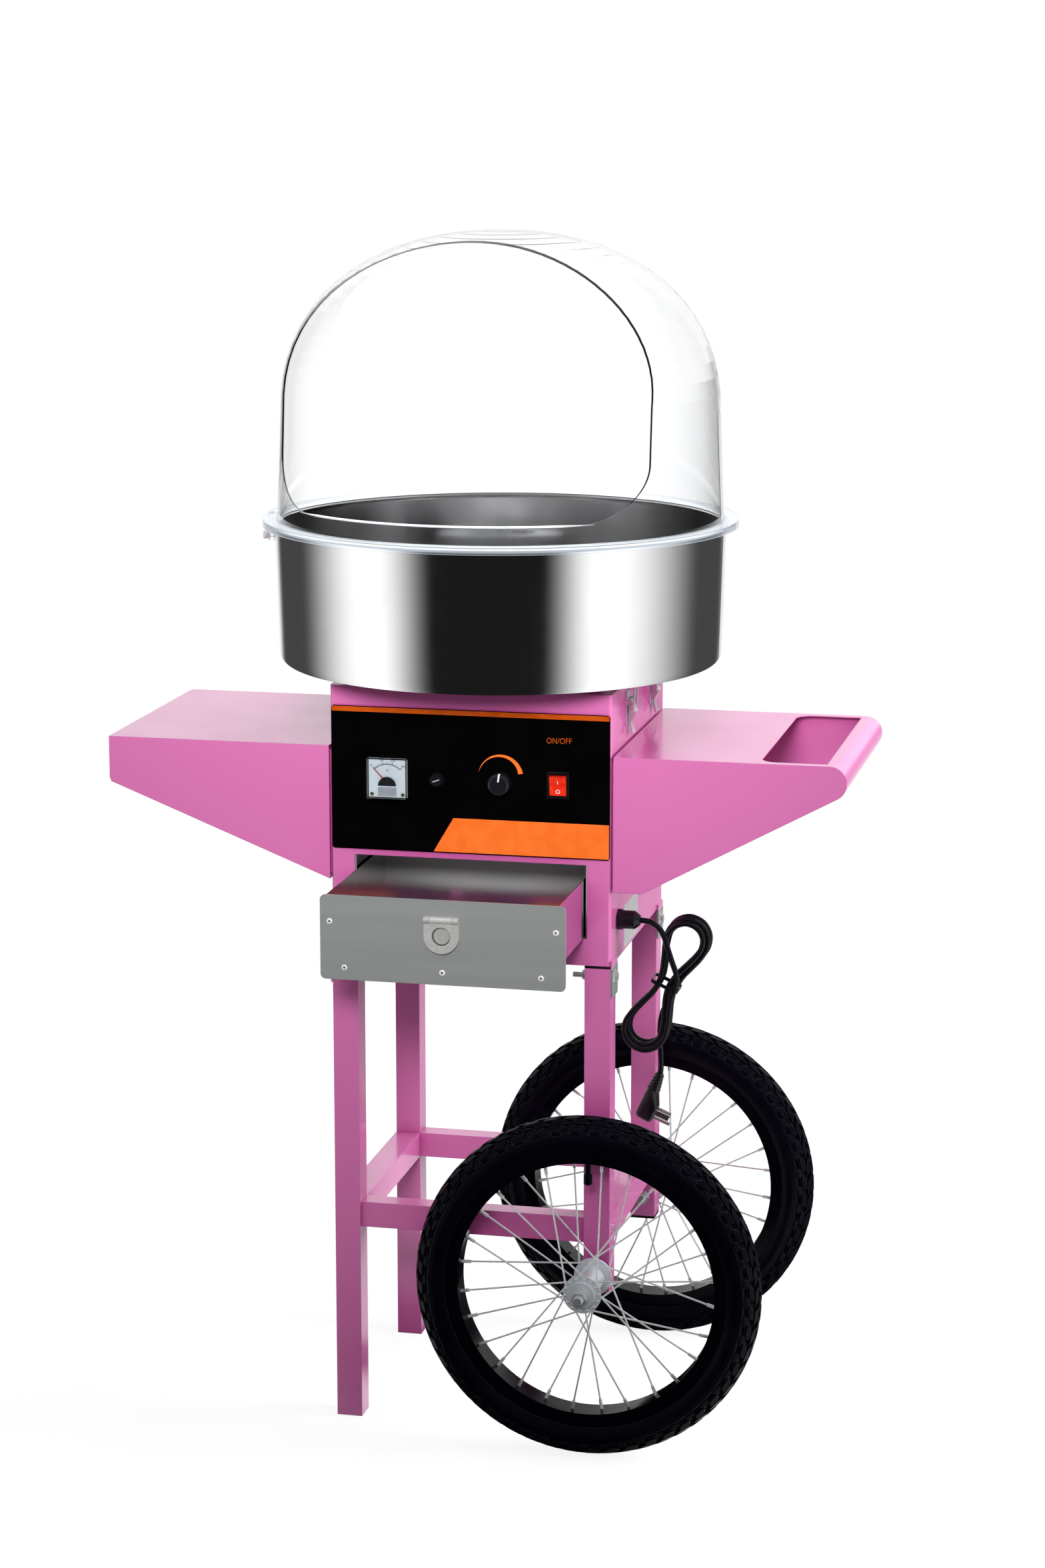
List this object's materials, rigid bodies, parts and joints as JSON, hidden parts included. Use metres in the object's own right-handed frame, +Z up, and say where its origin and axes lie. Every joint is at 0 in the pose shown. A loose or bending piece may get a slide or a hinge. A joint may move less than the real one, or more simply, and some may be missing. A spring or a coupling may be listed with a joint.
{
  "type": "cotton candy cart",
  "caption": "Pink sheet-metal cotton candy machine on a square-tube cart frame with spoked wheels, side shelves, cash drawer, polished bowl, spinner head and a clear dome with a serving window.",
  "frame": {"origin": "on the floor under the middle of the cart's whole footprint, with the drawer as it stands open in the picture", "axes": "+Z up, the control panel and drawer face -Y, +X towards the wheels and the shelf with the hand hole"},
  "size_m": [0.853, 0.5742, 1.3743],
  "materials": {
    "pink_paint": "gloss",
    "black_plastic": "satin",
    "gloss_black": "gloss",
    "zinc": "satin",
    "bright_steel": "polished",
    "grey_plate": "satin",
    "clear": "gloss",
    "meter_white": "satin",
    "red": "gloss",
    "board_green": "satin",
    "motor_grey": "satin",
    "heater": "matt",
    "black_rim": "gloss",
    "tyre_rubber": "matt",
    "cord_rubber": "satin"
  },
  "bodies": {
    "cart": {"front_left_leg": "pink_paint", "rear_left_leg": "pink_paint", "front_right_leg": "pink_paint", "rear_right_leg": "pink_paint", "stretchers": "pink_paint", "leg_plugs": "black_plastic", "frame_screws": "zinc", "housing": "pink_paint", "top_deck": "pink_paint", "rear_cover": "pink_paint", "drawer_bay": "zinc", "control_panel": "gloss_black", "left_shelf": "pink_paint", "right_shelf": "pink_paint", "bowl": "bright_steel", "bowl_hooks": "bright_steel", "latch_bases": "bright_steel", "meter_case": "meter_white", "meter_cover": "clear", "fuse_holder": "black_plastic", "control_board": "board_green", "switch_frame": "black_plastic", "motor": "motor_grey", "axles": "zinc", "cable_gland": "black_plastic", "power_cord": "cord_rubber", "cord_hank": "cord_rubber", "cord_tie": "black_plastic", "plug": "cord_rubber"},
    "drawer": {"drawer_tray": "bright_steel", "drawer_front": "grey_plate", "drawer_screws": "bright_steel", "pull_base": "bright_steel"},
    "pull": {"pull_ring": "bright_steel"},
    "dome": {"dome": "clear", "dome_clamps": "clear"},
    "needle": {"meter_needle": "red"},
    "fuse": {"fuse_cap": "black_plastic"},
    "knob": {"heat_knob": "black_plastic"},
    "rocker": {"switch_rocker": "red"},
    "spinner": {"spinner_shaft": "zinc", "spinner_head": "bright_steel", "heater_ring": "heater"},
    "front_wheel": {"front_tyre": "tyre_rubber", "front_rim": "black_rim", "front_spokes": "zinc", "front_hub": "zinc"},
    "rear_wheel": {"rear_tyre": "tyre_rubber", "rear_rim": "black_rim", "rear_spokes": "zinc", "rear_hub": "zinc"},
    "front_right_lever": {"front_right_lever": "bright_steel"},
    "front_right_bail": {"front_right_bail": "bright_steel"},
    "rear_right_lever": {"rear_right_lever": "bright_steel"},
    "rear_right_bail": {"rear_right_bail": "bright_steel"},
    "front_left_lever": {"front_left_lever": "bright_steel"},
    "front_left_bail": {"front_left_bail": "bright_steel"},
    "rear_left_lever": {"rear_left_lever": "bright_steel"},
    "rear_left_bail": {"rear_left_bail": "bright_steel"}
  },
  "joints": [
    {"name": "front_wheel_spin", "type": "hinge", "parent": "cart", "child": "front_wheel", "pos_m": [0.1475, -0.1939, 0.2], "axis": [0, 1, 0], "continuous": true},
    {"name": "rear_wheel_spin", "type": "hinge", "parent": "cart", "child": "rear_wheel", "pos_m": [0.1475, 0.2201, 0.2], "axis": [0, 1, 0], "continuous": true},
    {"name": "drawer_slide", "type": "slide", "parent": "cart", "child": "drawer", "axis": [0, -1, 0], "range_m": [-0.1317, 0.06]},
    {"name": "pull_swing", "type": "hinge", "parent": "drawer", "child": "pull", "pos_m": [0, -0.2839, 0.6393], "axis": [-1, 0, 0], "range_deg": [0, 110]},
    {"name": "dome_lift", "type": "slide", "parent": "cart", "child": "dome", "axis": [0, 0, 1], "range_m": [0, 0.35]},
    {"name": "needle_swing", "type": "hinge", "parent": "cart", "child": "needle", "pos_m": [-0.0945, -0.1504, 0.7625], "axis": [0, 1, 0], "range_deg": [0, 86], "stiffness_Nm_per_rad": 0.0004, "springref_deg": -11.46},
    {"name": "fuse_turn", "type": "hinge", "parent": "cart", "child": "fuse", "pos_m": [-0.0375, -0.1504, 0.768], "axis": [0, -1, 0], "range_deg": [0, 60]},
    {"name": "knob_turn", "type": "hinge", "parent": "cart", "child": "knob", "pos_m": [0.036, -0.1504, 0.768], "axis": [0, 1, 0], "range_deg": [-120, 150]},
    {"name": "rocker_switch", "type": "hinge", "parent": "cart", "child": "rocker", "pos_m": [0.102, -0.144, 0.768], "axis": [-1, 0, 0], "range_deg": [0, 22]},
    {"name": "spinner_spin", "type": "hinge", "parent": "cart", "child": "spinner", "pos_m": [0, 0.0131, 0.955], "axis": [0, 0, 1], "continuous": true},
    {"name": "front_right_lever_swing", "type": "hinge", "parent": "cart", "child": "front_right_lever", "pos_m": [0.1665, -0.0499, 0.85], "axis": [0, -1, 0], "range_deg": [0, 115]},
    {"name": "front_right_bail_swing", "type": "hinge", "parent": "front_right_lever", "child": "front_right_bail", "pos_m": [0.1705, -0.0499, 0.838], "axis": [0, -1, 0], "range_deg": [-184, 0]},
    {"name": "rear_right_lever_swing", "type": "hinge", "parent": "cart", "child": "rear_right_lever", "pos_m": [0.1665, 0.0931, 0.85], "axis": [0, -1, 0], "range_deg": [0, 115]},
    {"name": "rear_right_bail_swing", "type": "hinge", "parent": "rear_right_lever", "child": "rear_right_bail", "pos_m": [0.1705, 0.0931, 0.838], "axis": [0, -1, 0], "range_deg": [-184, 0]},
    {"name": "front_left_lever_swing", "type": "hinge", "parent": "cart", "child": "front_left_lever", "pos_m": [-0.1665, -0.0499, 0.85], "axis": [0, 1, 0], "range_deg": [0, 115]},
    {"name": "front_left_bail_swing", "type": "hinge", "parent": "front_left_lever", "child": "front_left_bail", "pos_m": [-0.1705, -0.0499, 0.838], "axis": [0, 1, 0], "range_deg": [-184, 0]},
    {"name": "rear_left_lever_swing", "type": "hinge", "parent": "cart", "child": "rear_left_lever", "pos_m": [-0.1665, 0.0931, 0.85], "axis": [0, 1, 0], "range_deg": [0, 115]},
    {"name": "rear_left_bail_swing", "type": "hinge", "parent": "rear_left_lever", "child": "rear_left_bail", "pos_m": [-0.1705, 0.0931, 0.838], "axis": [0, 1, 0], "range_deg": [-184, 0]}
  ],
  "couplings": [
    {"joint": "front_right_bail_swing", "follows": "front_right_lever_swing", "ratio": -1.6},
    {"joint": "rear_right_bail_swing", "follows": "rear_right_lever_swing", "ratio": -1.6},
    {"joint": "front_left_bail_swing", "follows": "front_left_lever_swing", "ratio": -1.6},
    {"joint": "rear_left_bail_swing", "follows": "rear_left_lever_swing", "ratio": -1.6}
  ]
}
